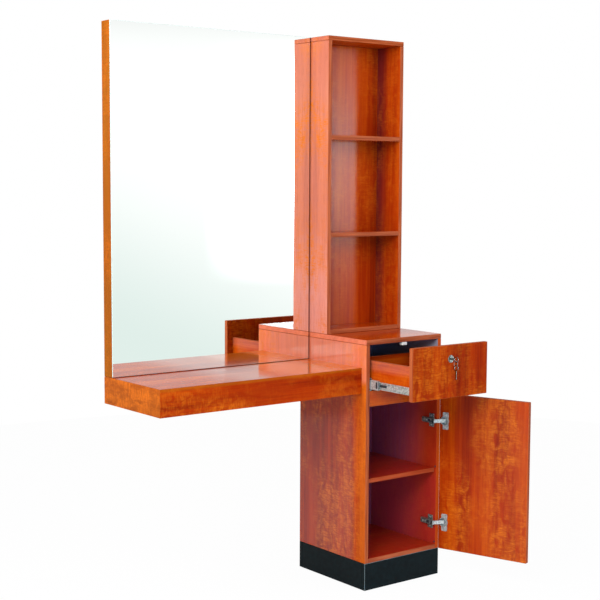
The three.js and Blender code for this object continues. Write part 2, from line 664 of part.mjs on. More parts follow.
function buildDoor() {
  const door = new THREE.Group();
  door.position.set(doorAxisX, doorAxisY, 0);
  door.rotation.z = doorOpenAngle;
  station.add(door);
  const leaf = boardBetween([frontReveal - doorAxisX, doorFace - frontBoard, doorLow],
    [doorEdge, doorFace, doorHigh]);
  const bores = Object.values(hingeHeights).map((height) =>
    roundBar(cupRadius + seam, [cupX, doorFace - cupDepth - seam, height], [cupX, doorFace + seam, height]));
  addPiece(door, "door", cherry, withCuts(leaf, ...bores));
  for (const [name, height] of Object.entries(hingeHeights)) {
    addPiece(door, `hinge_cup_${name}`, zincSteel, cupGeometry(), [cupX, 0, height]);
  }
}

// Hinge arm on its mounting plate, fixed to the inside of the cabinet's right side.
// It is a channel whose front end opens into a fork for the link's pin.
const linkPinX = cabinetWidth - carcassBoard - linkPinFromSide;
const linkPinY = -cabinetDepth + linkPinFromFront;

function armGeometry() {
  const wall = cabinetWidth - carcassBoard - seam;
  const plateFace = wall - mountPlateThickness;
  const armTop = cabinetWidth - carcassBoard - armHeight;
  const rear = -cabinetDepth + armRear;
  const tip = linkPinY - linkBarrelRadius;
  const forkRear = linkPinY + armNose;
  const outline = new THREE.Shape();
  outline.moveTo(plateFace + seam, rear);
  outline.lineTo((armTop + plateFace) / 2, rear);
  outline.lineTo(armTop, rear + armHeight / 2 - armRear / 6);
  outline.lineTo(armTop, tip + linkBarrelRadius);
  outline.lineTo(armTop + linkBarrelRadius, tip);
  outline.lineTo(linkPinX + linkBarrelRadius, tip);
  outline.lineTo(plateFace + seam, forkRear);
  const body = new THREE.ExtrudeGeometry(outline, { depth: armWidth, bevelEnabled: false });
  body.translate(0, 0, -armWidth / 2);
  const cheek = armWidth / 2 - armSheet;
  const trough = boxBetween([armTop + armSheet, tip - armNose, -cheek], [wall, rear + armNose, cheek]);
  const fork = boxBetween([armTop - armSheet, tip - armNose, -cheek], [wall, forkRear, cheek]);
  const plateRear = -cabinetDepth + mountPlateFront + mountPlateDepth;
  const plate = boardBetween(
    [plateFace, -cabinetDepth + mountPlateFront, -mountPlateHeight / 2],
    [wall, plateRear, mountPlateHeight / 2], mountPlateThickness / 4);
  const tail = boardBetween([plateFace, -cabinetDepth + mountPlateFront, -armWidth / 2],
    [wall, rear, armWidth / 2], mountPlateThickness / 4);
  const pinHole = roundBar(linkPinRadius + linkPlay, [linkPinX, linkPinY, -armWidth],
    [linkPinX, linkPinY, armWidth], finePinSides);
  return joined(withCuts(body, trough, fork, pinHole), plate, tail);
}

// Hinge link: pinned in the arm's fork, with its free end in the open cup
function buildHinges() {
  const cupCentre = new THREE.Vector2(cupX, doorFace - linkIntoCup);
  cupCentre.rotateAround(new THREE.Vector2(), doorOpenAngle).add(new THREE.Vector2(doorAxisX, doorAxisY));
  const reach = cupCentre.sub(new THREE.Vector2(linkPinX, linkPinY));
  const length = reach.length();
  const half = linkThickness / 2;
  const width = armWidth - 2 * armSheet - 2 * linkPlay;
  const barrel = roundBar(linkBarrelRadius, [0, 0, -width / 2], [0, 0, width / 2], finePinSides);
  const pin = roundBar(linkPinRadius, [0, 0, -armWidth / 2], [0, 0, armWidth / 2], finePinSides);
  const strip = boxBetween([0, -half, -width / 2], [length, half, width / 2]);
  const eye = roundBar(linkEyeRadius, [length, 0, -width / 2], [length, 0, width / 2], finePinSides);
  const link = joined(barrel, pin, strip, eye);
  for (const [name, height] of Object.entries(hingeHeights)) {
    addPiece(station, `hinge_arm_${name}`, zincSteel, armGeometry(), [0, 0, height]);
    const piece = addPiece(station, `hinge_link_${name}`, zincSteel, link, [linkPinX, linkPinY, height]);
    piece.rotation.z = reach.angle();
  }
}

buildPlinth();
buildCabinet();
buildTower();
buildLedge();
buildMirror();
buildSlide("left", carcassBoard, 0);
buildSlide("right", cabinetWidth - carcassBoard, Math.PI);
buildDrawer();
buildLock();
buildDoor();
buildHinges();

export default station;
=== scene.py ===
# Looks of the salon mirror station: cherry laminate boards, silvered mirror, black plinth, zinc-plated
# drawer slides and concealed hinges, and a nickel drawer lock. Lengths are in metres unless noted.
import json
import math
from collections import namedtuple

import bmesh
import bpy
from mathutils import Matrix, Vector


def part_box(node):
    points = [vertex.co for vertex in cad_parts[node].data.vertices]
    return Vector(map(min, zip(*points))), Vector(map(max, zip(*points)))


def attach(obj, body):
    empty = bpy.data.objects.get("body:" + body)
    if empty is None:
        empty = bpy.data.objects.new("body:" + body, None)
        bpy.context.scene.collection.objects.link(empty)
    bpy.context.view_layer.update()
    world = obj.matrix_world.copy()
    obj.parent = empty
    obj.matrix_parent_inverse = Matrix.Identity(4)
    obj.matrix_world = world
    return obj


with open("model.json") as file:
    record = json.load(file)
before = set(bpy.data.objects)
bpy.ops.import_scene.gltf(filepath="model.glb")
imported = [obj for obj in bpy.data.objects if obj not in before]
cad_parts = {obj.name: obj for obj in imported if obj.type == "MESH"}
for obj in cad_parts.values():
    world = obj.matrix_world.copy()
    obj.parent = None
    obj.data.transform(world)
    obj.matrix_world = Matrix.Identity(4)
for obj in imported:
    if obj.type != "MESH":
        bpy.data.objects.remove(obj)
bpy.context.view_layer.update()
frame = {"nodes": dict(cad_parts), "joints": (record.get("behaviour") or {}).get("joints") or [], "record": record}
cad_nodes = frame["nodes"]
joints = {joint["name"]: joint for joint in frame["joints"]}

mm = 0.001
half_cabinet = 182 * mm
back_plane = 8 * mm

to_left = (-1, 0, 0)
to_right = (1, 0, 0)
to_front = (0, -1, 0)
to_back = (0, 1, 0)
upward = (0, 0, 1)
downward = (0, 0, -1)


def in_cabinet(x, y, z):
    """A place measured in millimetres from the cabinet's left side, its back and the floor."""
    return Vector((x * mm - half_cabinet, y * mm + back_plane, z * mm))


def srgb(red, green, blue):
    """A colour as it looks on a screen, from 0 to 255, as the shader's own numbers."""
    def straight(value):
        value /= 255
        return value / 12.92 if value <= 0.04045 else ((value + 0.055) / 1.055) ** 2.4
    return (straight(red), straight(green), straight(blue), 1.0)


# Camera at the photograph's place
camera_place = Vector((-3.17642, -3.87052, 1.46593))
camera_yaw = math.radians(-37.64)
camera_pitch = math.radians(-5.11)
camera_roll = math.radians(0.26)
camera_lens = 78.19
camera_sensor = 36


def set_camera():
    data = bpy.data.cameras.new("photo_camera")
    data.sensor_width = camera_sensor
    data.lens = camera_lens
    camera = bpy.data.objects.new("photo_camera", data)
    level_part = math.cos(camera_pitch)
    ahead = Vector((-math.sin(camera_yaw) * level_part,
                    math.cos(camera_yaw) * level_part,
                    math.sin(camera_pitch)))
    level = ahead.cross(Vector(upward)).normalized()
    upright = level.cross(ahead)
    side = level * math.cos(camera_roll) + upright * math.sin(camera_roll)
    top = upright * math.cos(camera_roll) - level * math.sin(camera_roll)
    turn = Matrix((side, top, -ahead)).transposed().to_4x4()
    camera.matrix_world = Matrix.Translation(camera_place) @ turn
    bpy.context.scene.collection.objects.link(camera)
    bpy.context.scene.camera = camera


class Value:
    """A shader value that can be added, subtracted and multiplied in Python."""
    def __init__(self, finish, socket):
        self.finish = finish
        self.socket = socket

    def __add__(self, other):
        return self.finish.math("ADD", self, other)

    def __radd__(self, other):
        return self.finish.math("ADD", other, self)

    def __sub__(self, other):
        return self.finish.math("SUBTRACT", self, other)

    def __rsub__(self, other):
        return self.finish.math("SUBTRACT", other, self)

    def __mul__(self, other):
        return self.finish.math("MULTIPLY", self, other)

    def __rmul__(self, other):
        return self.finish.math("MULTIPLY", other, self)

    def __abs__(self):
        return self.finish.math("ABSOLUTE", self)

    def above(self, edge, softness):
        """0 below the edge, 1 above it, with a soft step between; a negative softness turns it round."""
        return self.finish.node("ShaderNodeMapRange", {"interpolation_type": "SMOOTHSTEP"},
                                {0: self, 1: edge - softness, 2: edge + softness})


class Finish:
    """The node tree of one material, or of the world."""
    def __init__(self, owner):
        owner.use_nodes = True
        self.owner = owner
        self.tree = owner.node_tree
        self.tree.nodes.clear()

    def node(self, kind, settings, inputs, output=0):
        """Adds a node: its settings first, then the values or links of its sockets."""
        made = self.tree.nodes.new(kind)
        for name, setting in settings.items():
            if name == "stops":
                self.set_stops(made.color_ramp, setting)
            else:
                setattr(made, name, setting)
        for name, value in inputs.items():
            if isinstance(value, Value):
                self.tree.links.new(value.socket, made.inputs[name])
            else:
                made.inputs[name].default_value = value
        return Value(self, made.outputs[output]) if made.outputs else None

    def set_stops(self, ramp, stops):
        while len(ramp.elements) < len(stops):
            ramp.elements.new(1.0)
        for element, (place, colour) in zip(ramp.elements, stops):
            element.position = place
            element.color = colour

    def math(self, operation, *values):
        return self.node("ShaderNodeMath", {"operation": operation}, dict(enumerate(values)))

    def mix(self, share, first, second):
        """One colour into another: a share of 0 is the first, 1 the second."""
        return self.node("ShaderNodeMix", {"data_type": "RGBA"}, {0: share, 6: first, 7: second}, 2)

    def dot(self, first, second):
        return self.node("ShaderNodeVectorMath", {"operation": "DOT_PRODUCT"}, {0: first, 1: second}, 1)

    def place(self):
        return self.node("ShaderNodeTexCoord", {}, {}, "Object")

    def coordinate(self, axis):
        return self.node("ShaderNodeSeparateXYZ", {}, {0: self.place()}, axis.upper())

    def towards(self, direction):
        """How squarely the surface looks along a direction: 1 is square on, -1 is the other way."""
        return self.dot(self.node("ShaderNodeTexCoord", {}, {}, "Normal"), direction)

    def facing(self, direction):
        """How squarely the surface faces along a direction, either way: 1 is square on."""
        return abs(self.towards(direction))

    def looks_along(self, direction):
        """1 on the faces that look along a direction, 0 on the others."""
        return self.towards(direction).above(0.8, 0.1)

    def noise(self, stretch, shift, detail=3.0, twist=0.0):
        """Noise whose patches are the given number to the metre along x, y and z."""
        at = self.node("ShaderNodeMapping", {},
                       {"Vector": self.place(), "Location": shift, "Scale": stretch})
        return self.node("ShaderNodeTexNoise", {}, {
            "Vector": at, "Scale": 1.0, "Detail": detail, "Roughness": 0.55, "Distortion": twist})

    def bump(self, height, strength, distance):
        return self.node("ShaderNodeBump", {},
                         {"Height": height, "Strength": strength, "Distance": distance})

    def surface(self, **sockets):
        shader = self.node("ShaderNodeBsdfPrincipled", {}, sockets)
        self.node("ShaderNodeOutputMaterial", {}, {"Surface": shader})


def material(name):
    return Finish(bpy.data.materials.new(name))


# Cherry laminate: broad bands, fine streaks, patches of cross figure and short pores, under a gloss.
# Board edges have a paler edge band, the faces inside the drawer's bay are blue-grey, and some faces carry painted
# light and shade.
cherry_deep = srgb(128, 26, 4)
cherry_red = srgb(166, 46, 4)
cherry_warm = srgb(188, 68, 5)
cherry_gold = srgb(216, 108, 20)
cherry_pore = srgb(96, 24, 6)
# Painted shade inside the cabinet: crimson, plum and wine
painted_shade_crimson = srgb(168, 34, 20)
painted_shade_plum = srgb(140, 62, 84)
painted_shade_wine = srgb(176, 40, 38)
cherry_amber = srgb(168, 92, 14)
cherry_honey = srgb(150, 92, 20)
# Painted light and reflection on the outer left faces: rose, blush and pink
painted_light_rose = srgb(212, 135, 111)
painted_light_blush = srgb(237, 136, 102)
painted_light_pink = srgb(232, 160, 148)
# Painted shadow in the tower's rear corner: dusk
painted_shadow_dusk = srgb(86, 26, 38)
band_dark = srgb(148, 64, 31)
band_pale = srgb(184, 93, 52)
bay_grey = srgb(160, 160, 178)
bay_floor = 0.7285

# A step sets in past a place along an axis, over a softness to each side, by a share. With a negative
# softness it sets in before the place. A shade is a colour for faces that look one way, and its step; most
# shades paint light and shade onto a board, and a few are a board's own tint.
Step = namedtuple("Step", "axis place softness share")
Shade = namedtuple("Shade", "face colour step")


def past(wood, bands, step):
    """How far a step has set in, with a wavy edge."""
    wavy = wood.coordinate(step.axis) + bands * 0.02
    return wavy.above(step.place, step.softness) * step.share


def cherry_laminate(name, grain, face, seed, look):
    wood = material(name)
    seed = seed + look["turn"]
    shift = (seed * 3.7, seed * 2.3, seed * 5.1)

    def figure(across, along, detail, twist=0.0):
        """Noise with so many patches to the metre across the grain and along it."""
        stretch = tuple(along if axis == grain else across for axis in "xyz")
        return wood.noise(stretch, shift, detail, twist)

    bands = figure(across=11, along=0.6, detail=2.0)
    ribbons = figure(across=42, along=1.5, detail=2.0)
    streaks = figure(across=170, along=4, detail=4.0)
    patches = figure(across=7, along=3, detail=1.0)
    blotches = figure(across=34, along=16, detail=3.0, twist=1.0)
    curls = figure(across=26, along=140, detail=2.0, twist=1.2)
    pores = figure(across=950, along=26, detail=2.0)
    band_tone = figure(across=120, along=6, detail=2.0)

    tone = 0.105 + bands * 0.4 + ribbons * 0.24 + streaks * 0.15 + look["warmth"]
    # Paler steps: on the ledge top these are painted light, on the cabinet's left side painted shadow
    for step in look["paler"]:
        tone = tone + past(wood, bands, step)
    stops = [(0.36, cherry_deep), (0.46, cherry_red), (0.54, cherry_warm), (0.68, cherry_gold)]
    colour = wood.node("ShaderNodeValToRGB", {"stops": stops}, {"Fac": tone})
    # Shades: mostly painted light and shade on the faces that look one way
    for shade in look["shades"]:
        share = past(wood, bands, shade.step) * (0.4 + ribbons * 0.6 + streaks * 0.6)
        colour = wood.mix(wood.looks_along(shade.face) * share, colour, shade.colour)
    cross_figure = curls.above(0.5, 0.14) * 0.7 + 0.35
    flame = patches.above(0.45, 0.16) * blotches.above(0.48, 0.22) * cross_figure
    colour = wood.mix(flame * look["curl"], colour, cherry_gold)
    pore = pores.above(0.63, 0.05)
    colour = wood.mix(pore * 0.3, colour, cherry_pore)

    edge = 1 - wood.facing(face).above(0.8, 0.1)
    if look["bare_end"]:
        edge = edge * (1 - wood.looks_along(look["bare_end"]))
    band = wood.mix(band_tone.above(0.5, 0.2), band_dark, band_pale)
    colour = wood.mix(edge * look["banded"], colour, band)
    gloss = 0.1 + streaks * 0.08 + edge * 0.45 + look["dull"]
    # The faces inside the drawer's bay, above its floor, are blue-grey and rougher
    if look["bay_face"]:
        in_bay = wood.coordinate("z").above(bay_floor, 0.6 * mm) * wood.looks_along(look["bay_face"])
        colour = wood.mix(in_bay, colour, bay_grey)
        gloss = gloss + in_bay * 0.35
    relief = wood.bump(streaks * 0.4 - pore * 0.6, strength=0.05, distance=0.4 * mm)

    sockets = {"Base Color": colour, "Roughness": gloss, "IOR": look["index"], "Normal": relief}
    if look["lacquer"]:
        coat = sum(past(wood, bands, step) for step in look["lacquer"])
        sockets["Coat Weight"] = coat * (1 - edge)
        sockets["Coat Roughness"] = 0.08
    wood.surface(**sockets)
    return wood.owner


axes = {"x": to_right, "y": to_back, "z": upward}
# The door stands open at rest, so its face and its hardware are turned by this angle
open_door_angle = math.radians(108)
open_door_face = (-math.sin(open_door_angle), math.cos(open_door_angle), 0)
# The grain runs along a board's longest side, apart from these
grain_by_node = {
    "drawer_front": "z", "door": "z", "cabinet_back": "z", "tower_back": "z", "back_panel": "z",
    "ledge_left_end": "y", "ledge_right_end": "y", "drawer_left_side": "y", "drawer_right_side": "y",
    "cabinet_top": "x", "cabinet_floor": "x", "inner_shelf": "x", "drawer_divider": "x",
    "drawer_bottom": "x",
}
# What sets single boards apart. warmth: paler or deeper all over; paler: the same past a place, which is
# painted light on the ledge top and painted shadow on the cabinet's left side; curl: share of golden cross
# figure; shades: colours on the faces that look one way, mostly painted light and shade; banded: strength
# of the edge band; bare_end: an edge without a band; index: the gloss all over; dull: how much more
# blurred it is; lacquer: more gloss past a place; bay_face: the face inside the drawer's bay, which is
# blue-grey; turn: a fresh veneer.
all_over = Step("z", place=-0.1, softness=0.01, share=0.75)
mostly = Step("z", place=-0.1, softness=0.01, share=0.6)
plain_look = {
    "warmth": 0.0, "paler": (), "curl": 0.4, "shades": (), "banded": 1.0, "bare_end": None,
    "index": 1.28, "dull": 0.0, "lacquer": (), "bay_face": None, "turn": 0,
}
looks = {
    "door": {
        "turn": 202, "warmth": -0.08, "curl": 0.85, "index": 1.14,
        "paler": [Step("x", place=0.25, softness=0.06, share=0.05)],
        "lacquer": [Step("x", place=0.26, softness=0.05, share=0.3)]},
    "drawer_front": {"warmth": -0.09, "curl": 0.65, "index": 1.09},
    # Painted reflection in rose on the upper part of the drawer's left side
    "drawer_left_side": {
        "warmth": -0.04, "index": 1.2,
        "shades": [Shade(to_left, painted_light_rose, Step("z", place=0.816, softness=0.012, share=0.25))]},
    "ledge_front": {
        "warmth": -0.05, "curl": 0.8, "index": 1.09,
        "shades": [Shade(to_front, cherry_amber, Step("z", place=0.811, softness=0.005, share=0.5))]},
    "ledge_left_end": {
        "turn": 31, "warmth": -0.06, "curl": 1.0, "index": 1.2,
        "shades": [Shade(to_left, cherry_amber, mostly)]},
    # Painted light: the ledge top is paler towards its right end, near the cabinet
    "ledge_top": {
        "index": 1.2,
        "paler": [Step("x", place=-0.45, softness=0.12, share=0.16)],
        "lacquer": [Step("x", place=-0.7, softness=0.1, share=0.7),
                    Step("x", place=-0.46, softness=0.04, share=0.3),
                    Step("x", place=-0.27, softness=0.06, share=-1.0)]},
    "mirror_left_stile": {
        "warmth": -0.05, "index": 1.12,
        "shades": [Shade(to_left, cherry_honey, all_over)]},
    "mirror_right_stile": {"warmth": 0.06, "index": 1.12},
    "mirror_top_rail": {"index": 1.02},
    # Painted light in rose on the roof's left end
    "tower_roof": {
        "index": 1.02, "bare_end": to_left,
        "shades": [Shade(to_left, painted_light_rose, mostly)]},
    "tower_back": {"dull": 0.04},
    # Painted shadow in dusk along the rear of the right side's inner face, in the tower's corner
    "tower_right_side": {
        "shades": [Shade(to_left, painted_shadow_dusk, Step("y", place=-0.055, softness=0.025, share=0.6))]},
    # Painted light and reflection on the outer face: rose, pinker low down, fading to plain warm cherry at the top
    "tower_left_side": {
        "turn": 57, "warmth": 0.05, "curl": 1.0,
        "shades": [Shade(to_left, painted_light_rose, mostly),
                   Shade(to_left, painted_light_pink, Step("z", place=1.2, softness=-0.15, share=0.4)),
                   Shade(to_left, cherry_warm, Step("z", place=1.85, softness=0.15, share=0.35))]},
    # Painted shade in crimson on the inner face. On the outer face, a painted shadow of the ledge darkens the
    # rear, painted light in gold lies on the front strip, and painted light in blush lies above the ledge
    "cabinet_left_side": {
        "warmth": -0.06, "curl": 0.7, "index": 1.14, "bay_face": to_right,
        "paler": [Step("y", place=-0.305, softness=0.025, share=-0.04)],
        "shades": [Shade(to_right, painted_shade_crimson, all_over),
                   Shade(to_left, cherry_gold, Step("y", place=-0.33, softness=-0.03, share=0.5)),
                   Shade(to_left, painted_light_blush, Step("z", place=0.765, softness=0.015, share=0.6))],
        "lacquer": [Step("y", place=-0.3, softness=0.025, share=0.85)]},
    # Painted shade on the right side's inner face: crimson, plum towards the rear and wine low down
    "cabinet_right_side": {
        "curl": 0.1, "banded": 0.0, "bay_face": to_left,
        "shades": [Shade(to_left, painted_shade_crimson, all_over),
                   Shade(to_left, painted_shade_plum, Step("y", place=-0.24, softness=0.09, share=0.75)),
                   Shade(to_left, painted_shade_wine, Step("z", place=0.39, softness=-0.02, share=0.6))]},
    # Painted shade in plum on the back's front face
    "cabinet_back": {
        "curl": 0.1, "bay_face": to_front,
        "shades": [Shade(to_front, painted_shade_plum, all_over)]},
    # Painted light in blush on the top's left end
    "cabinet_top": {
        "bay_face": downward, "bare_end": to_left,
        "shades": [Shade(to_left, painted_light_blush, mostly)]},
    # Painted shade in crimson on the tops of the shelf and the floor
    "inner_shelf": {
        "curl": 0.1, "banded": 0.5,
        "shades": [Shade(upward, painted_shade_crimson, all_over)]},
    "cabinet_floor": {
        "curl": 0.1,
        "shades": [Shade(upward, painted_shade_crimson, all_over)]},
}


def thinnest_and_longest(node):
    low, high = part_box(node)
    sizes = sorted(zip(high - low, "xyz"))
    return sizes[0][1], sizes[-1][1]


def board_finish(node, seed):
    thin, long = thinnest_and_longest(node)
    face = open_door_face if node == "door" else axes[thin]
    grain = grain_by_node.get(node, long)
    return cherry_laminate("cherry_" + node, grain, face, seed, plain_look | looks.get(node, {}))


# Black laminate of the plinth, with a painted highlight on its eased corners in front of the first place and
# behind the second
plinth_front_zone = -0.372
plinth_back_zone = 0.003


def black_laminate():
    black = material("black_laminate")
    stone = black.noise((70, 70, 70), (0, 0, 0), detail=4.0)
    scuffs = black.noise((6, 6, 40), (2, 1, 0))
    across, through, up = (black.facing(axes[axis]) for axis in "xyz")
    squarest = black.math("MAXIMUM", black.math("MAXIMUM", across, through), up)
    depth = black.coordinate("y")
    inner = depth.above(plinth_front_zone, 2 * mm) * (1 - depth.above(plinth_back_zone, 2 * mm))
    # Painted highlight: the eased corners are pale grey
    corner = (1 - squarest.above(0.88, 0.06)) * (1 - inner)
    colour = black.mix(stone.above(0.5, 0.25), srgb(6, 14, 15), srgb(12, 24, 25))
    colour = black.mix(corner, colour, srgb(112, 124, 122))
    black.surface(**{
        "Base Color": colour, "Roughness": 0.3 + scuffs * 0.2, "IOR": 1.17,
        "Normal": black.bump(stone, strength=0.08, distance=0.4 * mm)})
    return black.owner


# Silvered glass: a clean mirror face, a pale polished edge and a painted dark strip of shade along the edge beside
# the tower
def mirror_finish():
    glass = material("silvered_glass")
    facing = glass.facing(to_back).above(0.9, 0.05)
    wipe = glass.noise((3, 3, 9), (1, 0, 2), twist=0.6)
    colour = glass.mix(facing, srgb(196, 220, 211), srgb(250, 253, 251))
    # Painted shade: a dark brown strip on the glass along its edge beside the tower
    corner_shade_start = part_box("mirror_glass")[1].x - 5 * mm
    corner_shade = glass.coordinate("x").above(corner_shade_start, 1 * mm)
    colour = glass.mix(corner_shade * 0.9, colour, srgb(92, 56, 48))
    gloss = 0.004 + wipe * 0.012 + (1 - facing) * 0.12
    glass.surface(**{"Base Color": colour, "Metallic": facing * 0.98 + 0.02, "Roughness": gloss})
    return glass.owner


# Plated metal with fine drawing lines and a cloudy plating
def plated(name, pale, dull, smooth, lines, metallic):
    metal = material(name)
    drawn = metal.noise(lines, (0, 0, 0))
    cloud = metal.noise((160, 160, 160), (3, 1, 2))
    colour = metal.mix(cloud.above(0.5, 0.22), dull, pale)
    metal.surface(**{
        "Base Color": colour, "Metallic": metallic, "Roughness": smooth + drawn * 0.16 + cloud * 0.06,
        "Normal": metal.bump(drawn, strength=0.05, distance=0.2 * mm)})
    return metal.owner


# Moulded plastic with a fine grain
def moulded(name, dark, pale, smooth):
    plastic = material(name)
    grain = plastic.noise((1400, 1400, 1400), (0, 0, 0), detail=2.0)
    cloud = plastic.noise((90, 90, 90), (1, 2, 3), detail=2.0)
    plastic.surface(**{
        "Base Color": plastic.mix(cloud, dark, pale), "Roughness": smooth + grain * 0.15,
        "Normal": plastic.bump(grain, strength=0.08, distance=0.2 * mm)})
    return plastic.owner


# Brown hardboard behind the mirror
def hardboard():
    board = material("hardboard")
    fibres = board.noise((420, 160, 420), (0, 0, 0), detail=4.0, twist=0.8)
    cloud = board.noise((14, 14, 14), (2, 0, 1))
    colour = board.mix(fibres.above(0.5, 0.25), srgb(116, 62, 30), srgb(158, 92, 48))
    colour = board.mix(cloud * 0.4, colour, srgb(132, 66, 28))
    board.surface(**{
        "Base Color": colour, "Roughness": 0.5 + fibres * 0.25,
        "Normal": board.bump(fibres, strength=0.15, distance=0.4 * mm)})
    return board.owner


# Cast iron of the counterweight, with spots of rust
def cast_iron():
    iron = material("cast_iron")
    sand = iron.noise((500, 500, 500), (0, 0, 0), detail=4.0)
    rust = iron.noise((18, 18, 18), (4, 1, 2), detail=4.0)
    colour = iron.mix(rust.above(0.62, 0.08) * 0.7, srgb(52, 54, 56), srgb(96, 58, 40))
    iron.surface(**{
        "Base Color": colour, "Metallic": 0.8, "Roughness": 0.55 + sand * 0.3,
        "Normal": iron.bump(sand, strength=0.4, distance=0.8 * mm)})
    return iron.owner


# Drawing lines of the metal, to the metre along x, y and z
lengthwise = (300, 12, 300)
all_ways = (220, 220, 220)
finishes = {
    "black_laminate": black_laminate(),
    "mirror_glass": mirror_finish(),
    "zinc_steel": plated("zinc_steel", pale=srgb(222, 226, 218), dull=srgb(152, 158, 152), smooth=0.24,
                         lines=lengthwise, metallic=0.6),
    # A darker copy of the zinc, as painted shade on the hinge arms
    "shaded_zinc": plated("shaded_zinc", pale=srgb(168, 172, 158), dull=srgb(82, 84, 75), smooth=0.2,
                        lines=lengthwise, metallic=0.6),
    "nickel": plated("nickel", pale=srgb(168, 168, 164), dull=srgb(128, 130, 128), smooth=0.1,
                     lines=all_ways, metallic=1.0),
    "dark_nylon": moulded("dark_nylon", dark=srgb(24, 28, 32), pale=srgb(44, 49, 53), smooth=0.35),
    "white_nylon": moulded("white_nylon", dark=srgb(222, 223, 218), pale=srgb(240, 240, 236),
                           smooth=0.35),
    "hardboard": hardboard(),
    "cast_iron": cast_iron(),
}
# The hinge arms inside the cabinet take a darker copy of the zinc, as painted shade
finish_by_node = {"hinge_arm_upper": "shaded_zinc", "hinge_arm_lower": "shaded_zinc"}


def dress_nodes():
    slots = {entry["node"]: entry["material_slot"] for entry in frame["record"]["subparts"]}
    for seed, (node, slot) in enumerate(sorted(slots.items())):
        finish = finish_by_node.get(node, slot)
        look = board_finish(node, seed) if finish == "cherry_laminate" else finishes[finish]
        materials = cad_nodes[node].data.materials
        materials.clear()
        materials.append(look)


# New pieces
def add_piece(name, mesh, slot, body, at):
    bmesh.ops.transform(mesh, matrix=at, verts=mesh.verts)
    bmesh.ops.recalc_face_normals(mesh, faces=mesh.faces)
    data = bpy.data.meshes.new(name)
    mesh.to_mesh(data)
    mesh.free()
    data.materials.append(finishes[slot])
    piece = bpy.data.objects.new(name, data)
    bpy.context.scene.collection.objects.link(piece)
    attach(piece, body)


def standing_on(point, direction):
    """Places a shape made along +Z on a point, looking along a direction."""
    turn = Vector(upward).rotation_difference(Vector(direction)).to_matrix().to_4x4()
    return Matrix.Translation(point) @ turn


def cross_head(radius, height):
    """A pan head with a cross recess, standing on z = 0."""
    mesh = bmesh.new()
    bmesh.ops.create_cone(mesh, cap_ends=True, segments=20, radius1=radius, radius2=radius * 0.82,
                          depth=height, matrix=Matrix.Translation((0, 0, height / 2)))
    arm = radius * 0.12
    reach = radius * 0.52
    recess = height * 0.7
    for axis in (to_right, to_back):
        for offset in (-reach, -arm, arm, reach):
            everything = mesh.verts[:] + mesh.edges[:] + mesh.faces[:]
            bmesh.ops.bisect_plane(mesh, geom=everything, plane_co=Vector(axis) * offset, plane_no=axis)

    def in_cross(face):
        middle = face.calc_center_median()
        near, far = sorted((abs(middle.x), abs(middle.y)))
        return face.normal.z > 0.9 and near < arm and far < reach

    cross = [face for face in mesh.faces if in_cross(face)]
    sunk = bmesh.ops.extrude_face_region(mesh, geom=cross)
    corners = [part for part in sunk["geom"] if isinstance(part, bmesh.types.BMVert)]
    bmesh.ops.translate(mesh, vec=(0, 0, -recess), verts=corners)
    bmesh.ops.delete(mesh, geom=[face for face in cross if face.is_valid], context="FACES")
    return mesh


def add_screw(name, point, direction, body, radius=3.6 * mm, height=1.6 * mm):
    add_piece(name, cross_head(radius, height), "zinc_steel", body, standing_on(point, direction))


def rounded_plate(width, height, thickness, corner):
    """A flat plate on z = 0 with rounded corners and an eased top edge."""
    mesh = bmesh.new()
    bmesh.ops.create_grid(mesh, x_segments=1, y_segments=1, size=0.5)
    bmesh.ops.scale(mesh, vec=(width, height, 1), verts=mesh.verts)
    bmesh.ops.bevel(mesh, geom=mesh.verts[:], offset=corner, offset_type="OFFSET", segments=4,
                    profile=0.5, affect="VERTICES", material=-1)
    raised = bmesh.ops.extrude_face_region(mesh, geom=mesh.faces[:], use_keep_orig=True)
    top = [part for part in raised["geom"] if isinstance(part, bmesh.types.BMVert)]
    bmesh.ops.translate(mesh, vec=(0, 0, thickness), verts=top)
    rim = [edge for edge in mesh.edges if all(vert in top for vert in edge.verts)]
    bmesh.ops.bevel(mesh, geom=rim, offset=thickness * 0.3, offset_type="OFFSET", segments=2,
                    profile=0.5, affect="EDGES", material=-1)
    return mesh


# Hinges: screws in the cup plates, the mounting plates and the arms, and dark slot covers on the arms.
# The places are in millimetres.
hinge_heights = {"upper": 585.0, "lower": 198.8}
cup_screw_rise = 24
cup_screw_aside = -25.5
cup_plate_face = -2.5
mounting_screw_rise = 16.8
mounting_plate_middle = -358
mounting_plate_face = 345.7
arm_face = 334
arm_screw_depths = {"front": -344, "rear": -330}
slot_cover_depth = -357


def door_place(x, y, z):
    """A place on the shut door, in millimetres from its hinge line, carried to the open door."""
    axis = Vector(joints["door_swing"]["pos_m"])
    turned = Matrix.Rotation(open_door_angle, 3, "Z") @ Vector((x * mm, y * mm, 0))
    return Vector((axis.x + turned.x, axis.y + turned.y, z * mm))


